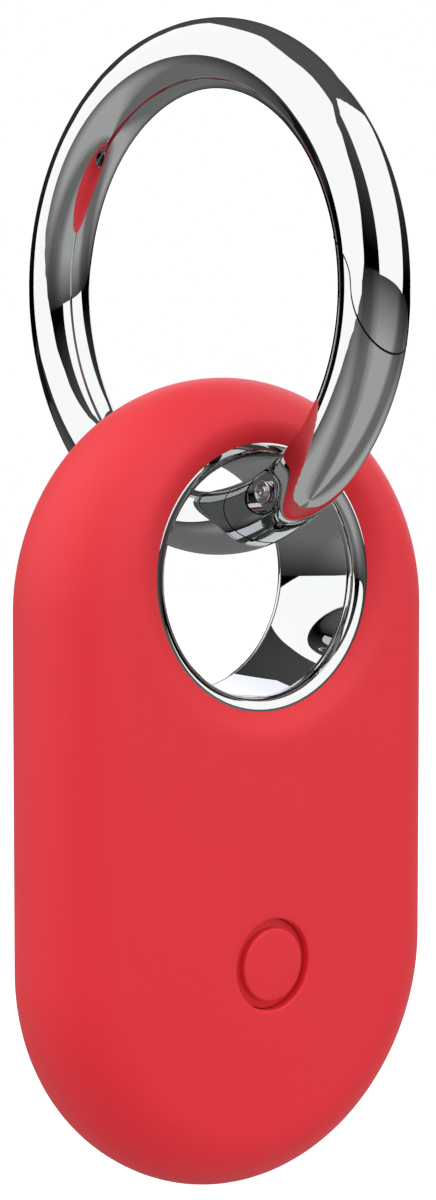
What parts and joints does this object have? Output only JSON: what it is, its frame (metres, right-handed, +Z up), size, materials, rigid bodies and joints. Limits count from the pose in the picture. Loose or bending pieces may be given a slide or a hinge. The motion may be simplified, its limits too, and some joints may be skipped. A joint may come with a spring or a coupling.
{
  "type": "bluetooth tracker tag",
  "caption": "Pill-shaped tracker tag in a red silicone sleeve with a chrome eyelet, hanging from a chrome key ring with a sprung gate.",
  "frame": {"origin": "hang point: the middle of the inside of the key ring's bar, at the ring's top", "axes": "+Z up, along the hanging tag; -Y out of the tag's front face, where the button is; +X to the right seen from the front"},
  "size_m": [0.0312, 0.0352, 0.0776],
  "materials": {
    "red_silicone": "satin moulded silicone rubber",
    "polished_chrome": "mirror-polished chrome plate",
    "spring_steel": "turned and drawn steel",
    "grey_abs": "fine moulded texture",
    "seal_rubber": "matt",
    "solder_mask": "semi-gloss solder mask",
    "nickel_can": "nickel plate",
    "gold_contact": "thin gold plate",
    "black_epoxy": "moulded epoxy",
    "white_ceramic": "fired ceramic",
    "brass_disc": "rolled brass"
  },
  "bodies": {
    "key_ring": {"key_ring_body": "polished_chrome", "hinge_pin": "spring_steel"},
    "gate": {"ring_gate": "polished_chrome", "gate_plunger": "spring_steel", "gate_spring": "spring_steel"},
    "eyelet": {"eyelet_barrel": "polished_chrome", "eyelet_front_bezel": "polished_chrome", "eyelet_rear_bezel": "polished_chrome"},
    "tag": {"silicone_sleeve": "red_silicone", "front_shell": "grey_abs", "rear_shell": "grey_abs", "battery_cover": "grey_abs", "battery_seal": "seal_rubber", "circuit_board": "solder_mask", "coin_cell": "nickel_can", "battery_contact_positive": "gold_contact", "battery_contact_negative": "gold_contact", "switch_body": "black_epoxy", "piezo_disc": "brass_disc", "piezo_ceramic": "white_ceramic", "sounder_pin_inner": "gold_contact", "sounder_pin_outer": "gold_contact", "radio_shield": "nickel_can", "ranging_chip": "black_epoxy", "crystal": "nickel_can", "chip_antenna": "white_ceramic", "antenna_ribbon": "gold_contact", "board_screw_left": "spring_steel", "board_screw_right": "spring_steel"},
    "button": {"sleeve_button_pad": "red_silicone", "button_key": "grey_abs", "switch_plunger": "white_ceramic"}
  },
  "joints": [
    {"name": "gate_hinge", "type": "hinge", "parent": "key_ring", "child": "gate", "pos_m": [0.00263, -0.00643, -0.02644], "axis": [-0.9923, -0.0982, -0.075], "range_deg": [0, 25], "stiffness_Nm_per_rad": 0.02, "springref_deg": -20.05},
    {"name": "ring_travel", "type": "hinge", "parent": "key_ring", "child": "eyelet", "pos_m": [0.00098, 0.0001, -0.01311], "axis": [0.9923, 0.0982, 0.075], "range_deg": [-3, 180]},
    {"name": "tag_swivel", "type": "hinge", "parent": "eyelet", "child": "tag", "pos_m": [0.00188, -0.0013, -0.03217], "axis": [0, 1, 0], "range_deg": [-140, 140]},
    {"name": "button_press", "type": "slide", "parent": "tag", "child": "button", "axis": [0, 1, 0], "range_m": [0, 0.00025], "stiffness_N_per_m": 1500, "springref_m": -0.0002}
  ]
}
